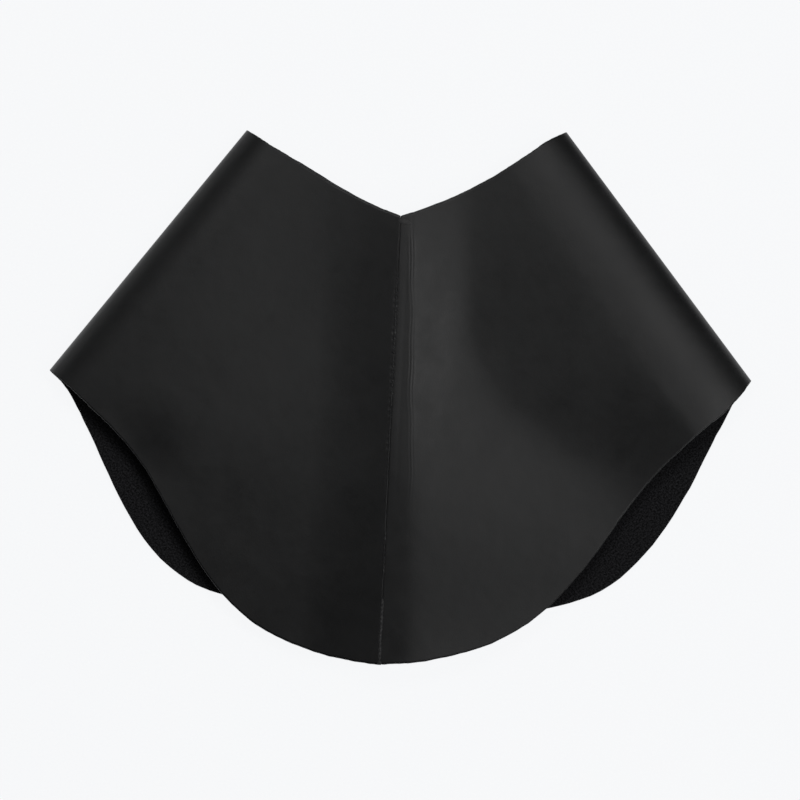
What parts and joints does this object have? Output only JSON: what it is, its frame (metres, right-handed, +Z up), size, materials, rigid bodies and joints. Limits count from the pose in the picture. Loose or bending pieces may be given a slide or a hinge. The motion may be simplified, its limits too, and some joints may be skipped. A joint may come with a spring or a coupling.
{
  "type": "neoprene kayak spray seal",
  "caption": "Conical lined-neoprene sleeve seal for kayak spray wear, pressed flat, with a small raw-cut neck edge and a wide S-curved hem.",
  "frame": {"origin": "centre of the sleeve's outline on the surface that its back layer lies on", "axes": "+X to the right across the sleeve, +Y towards the neck, +Z up out of the front layer"},
  "size_m": [0.3494, 0.2662, 0.0167],
  "materials": {
    "smooth_skin_foam": "black closed-cell neoprene with a smooth, softly shining skin",
    "knit_lining": "near-black brushed knit jersey bonded to the foam",
    "seam_cement": "black neoprene cement, dried glossy and uneven",
    "seam_thread": "black spun nylon thread"
  },
  "bodies": {
    "left_half": {"left_foam_panel": "smooth_skin_foam", "left_lining": "knit_lining", "front_seam_cement": "seam_cement", "back_seam_cement": "seam_cement", "front_seam_thread": "seam_thread", "back_seam_thread": "seam_thread", "neck_end_drop": "seam_cement", "hem_end_drop": "seam_cement"},
    "right_half": {"right_foam_panel": "smooth_skin_foam", "right_lining": "knit_lining"}
  },
  "joints": [
    {"name": "half_fold", "type": "hinge", "parent": "left_half", "child": "right_half", "pos_m": [-0.00548, -0.02134, 0.0175], "axis": [-0.0471, -0.9989, 0], "range_deg": [0, 165], "deforming": ["front_seam_cement", "back_seam_cement", "front_seam_thread", "back_seam_thread", "neck_end_drop", "hem_end_drop"]}
  ]
}
